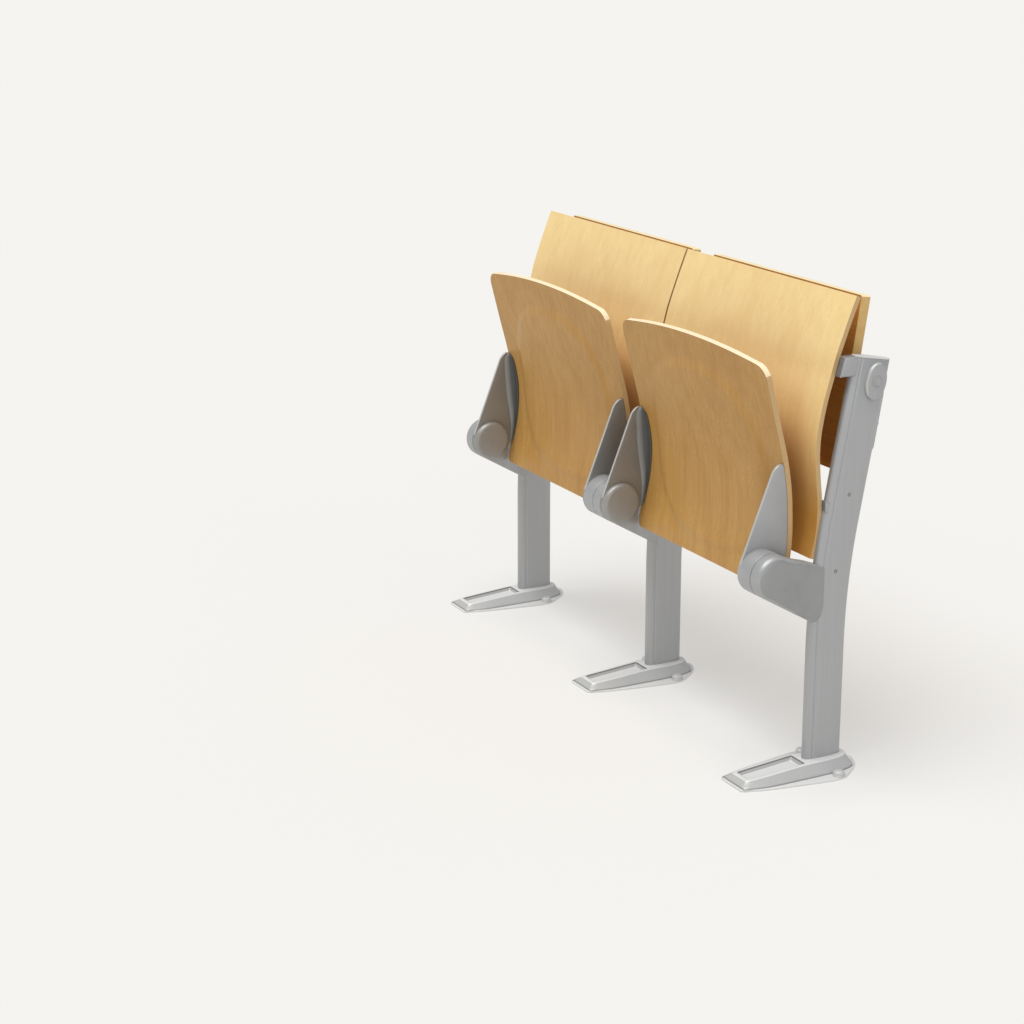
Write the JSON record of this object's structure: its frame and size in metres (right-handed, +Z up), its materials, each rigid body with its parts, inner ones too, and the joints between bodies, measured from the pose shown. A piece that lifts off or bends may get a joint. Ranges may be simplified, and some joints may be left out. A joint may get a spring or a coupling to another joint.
{
  "type": "tip-up auditorium seat row",
  "caption": "Floor-standing row of tip-up plywood auditorium seats on leaning posts, with backs and folding writing tablets behind.",
  "frame": {"origin": "on the floor, under the centre of the middle post", "axes": "+X along the row, to the right of someone who faces the seats, seats face -Y, +Z up"},
  "size_m": [1.2416, 0.3067, 0.8701],
  "materials": {
    "cast_metal": "satin grey coating over cast aluminium",
    "post_metal": "satin anodised extrusion",
    "steel": "zinc plated",
    "nylon": "grey moulded nylon",
    "seat_plywood": "satin lacquered beech plywood",
    "back_plywood": "satin lacquered beech plywood",
    "tablet_board": "satin laminate with a light brown edge band"
  },
  "bodies": {
    "frame": {"left_post": "post_metal", "middle_post": "post_metal", "right_post": "post_metal", "left_post_cap": "nylon", "middle_post_cap": "nylon", "right_post_cap": "nylon", "left_foot": "cast_metal", "middle_foot": "cast_metal", "right_foot": "cast_metal", "left_foot_left_anchor_bolt": "steel", "left_foot_right_anchor_bolt": "steel", "middle_foot_left_anchor_bolt": "steel", "middle_foot_right_anchor_bolt": "steel", "right_foot_left_anchor_bolt": "steel", "right_foot_right_anchor_bolt": "steel", "left_arm": "cast_metal", "middle_arm": "cast_metal", "right_arm": "cast_metal", "left_seat_pivot_pin": "steel", "middle_seat_pivot_pin": "steel", "right_seat_pivot_pin": "steel", "left_tablet_pivot_pin": "steel", "middle_tablet_pivot_pin": "steel", "right_tablet_pivot_pin": "steel", "left_upper_back_bracket": "cast_metal", "middle_upper_back_bracket": "cast_metal", "right_upper_back_bracket": "cast_metal", "left_lower_back_bracket": "cast_metal", "middle_lower_back_bracket": "cast_metal", "right_lower_back_bracket": "cast_metal", "left_post_right_tablet_hinge": "cast_metal", "middle_post_left_tablet_hinge": "cast_metal", "middle_post_right_tablet_hinge": "cast_metal", "right_post_left_tablet_hinge": "cast_metal", "left_oval_cover": "cast_metal", "right_oval_cover": "cast_metal", "left_seat_spring": "steel", "right_seat_spring": "steel", "left_back_panel": "back_plywood", "right_back_panel": "back_plywood"},
    "seat_left": {"left_seat_panel": "seat_plywood", "left_seat_left_wing": "cast_metal", "left_seat_right_wing": "cast_metal", "left_seat_left_bush": "nylon", "left_seat_right_bush": "nylon", "left_seat_left_hub_cap": "nylon", "left_seat_right_hub_cap": "nylon"},
    "seat_right": {"right_seat_panel": "seat_plywood", "right_seat_left_wing": "cast_metal", "right_seat_right_wing": "cast_metal", "right_seat_left_bush": "nylon", "right_seat_right_bush": "nylon", "right_seat_left_hub_cap": "nylon", "right_seat_right_hub_cap": "nylon"},
    "tablet_left": {"left_tablet_panel": "tablet_board", "left_tablet_left_bracket": "cast_metal", "left_tablet_right_bracket": "cast_metal"},
    "tablet_right": {"right_tablet_panel": "tablet_board", "right_tablet_left_bracket": "cast_metal", "right_tablet_right_bracket": "cast_metal"}
  },
  "joints": [
    {"name": "left_seat_hinge", "type": "hinge", "parent": "frame", "child": "seat_left", "pos_m": [-0.275, -0.128, 0.388], "axis": [1, 0, 0], "range_deg": [0, 76], "stiffness_Nm_per_rad": 2.6, "springref_deg": -55.58},
    {"name": "right_seat_hinge", "type": "hinge", "parent": "frame", "child": "seat_right", "pos_m": [0.275, -0.128, 0.388], "axis": [1, 0, 0], "range_deg": [0, 76], "stiffness_Nm_per_rad": 2.6, "springref_deg": -55.58},
    {"name": "left_tablet_hinge", "type": "hinge", "parent": "frame", "child": "tablet_left", "pos_m": [-0.275, 0.0963, 0.635], "axis": [-1, 0, 0], "range_deg": [0, 81.4]},
    {"name": "right_tablet_hinge", "type": "hinge", "parent": "frame", "child": "tablet_right", "pos_m": [0.275, 0.0963, 0.635], "axis": [-1, 0, 0], "range_deg": [0, 81.4]}
  ]
}
